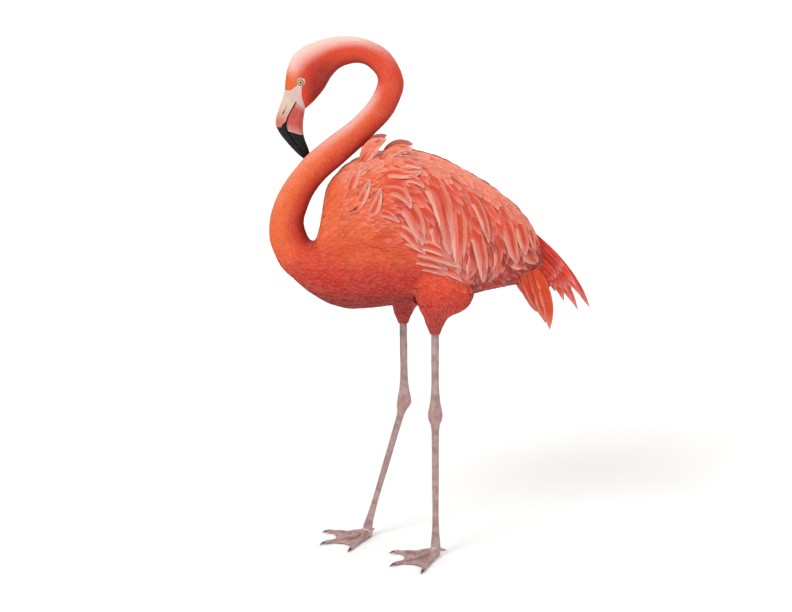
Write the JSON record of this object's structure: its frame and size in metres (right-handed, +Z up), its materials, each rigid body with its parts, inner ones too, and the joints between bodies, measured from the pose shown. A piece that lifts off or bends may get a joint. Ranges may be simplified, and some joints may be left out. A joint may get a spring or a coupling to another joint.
{
  "type": "flamingo figure",
  "caption": "Life-size still model of a standing American flamingo with its long neck in an S and its bent bill hanging down.",
  "frame": {"origin": "middle of the bird's box in plan, on the floor it stands on", "axes": "+Z up from the floor, the bird faces -X, and its left side is towards -Y"},
  "size_m": [0.6464, 0.2492, 1.058],
  "materials": {
    "plumage": "soft matte feather, coral red",
    "wing": "soft matte feather, pink",
    "flight_feather": "smooth vane, red",
    "bill_pale": "satin horn, pale cream to black at the tip",
    "bill_rose": "satin horn, rose to black at the tip",
    "eye": "wet gloss, yellow iris",
    "leg_skin": "matte scaled skin, greyish pink",
    "claw": "satin horn, dark"
  },
  "bodies": {
    "root": {"breast": "plumage", "claw_left_hind": "claw", "claw_left_inner": "claw", "claw_left_middle": "claw", "claw_left_outer": "claw", "claw_right_hind": "claw", "claw_right_inner": "claw", "claw_right_middle": "claw", "claw_right_outer": "claw", "eye_left": "eye", "eye_right": "eye", "foot_left": "leg_skin", "foot_right": "leg_skin", "head": "plumage", "lower_bill": "bill_rose", "neck_base": "plumage", "neck_bend": "plumage", "neck_middle": "plumage", "neck_top": "plumage", "primaries_left": "flight_feather", "primaries_right": "flight_feather", "rump": "plumage", "shank_left": "leg_skin", "shank_right": "leg_skin", "tail": "flight_feather", "tarsus_left": "leg_skin", "tarsus_right": "leg_skin", "thigh_left": "plumage", "thigh_right": "plumage", "trunk": "plumage", "upper_bill": "bill_pale", "wing_left": "wing", "wing_right": "wing"}
  },
  "joints": []
}
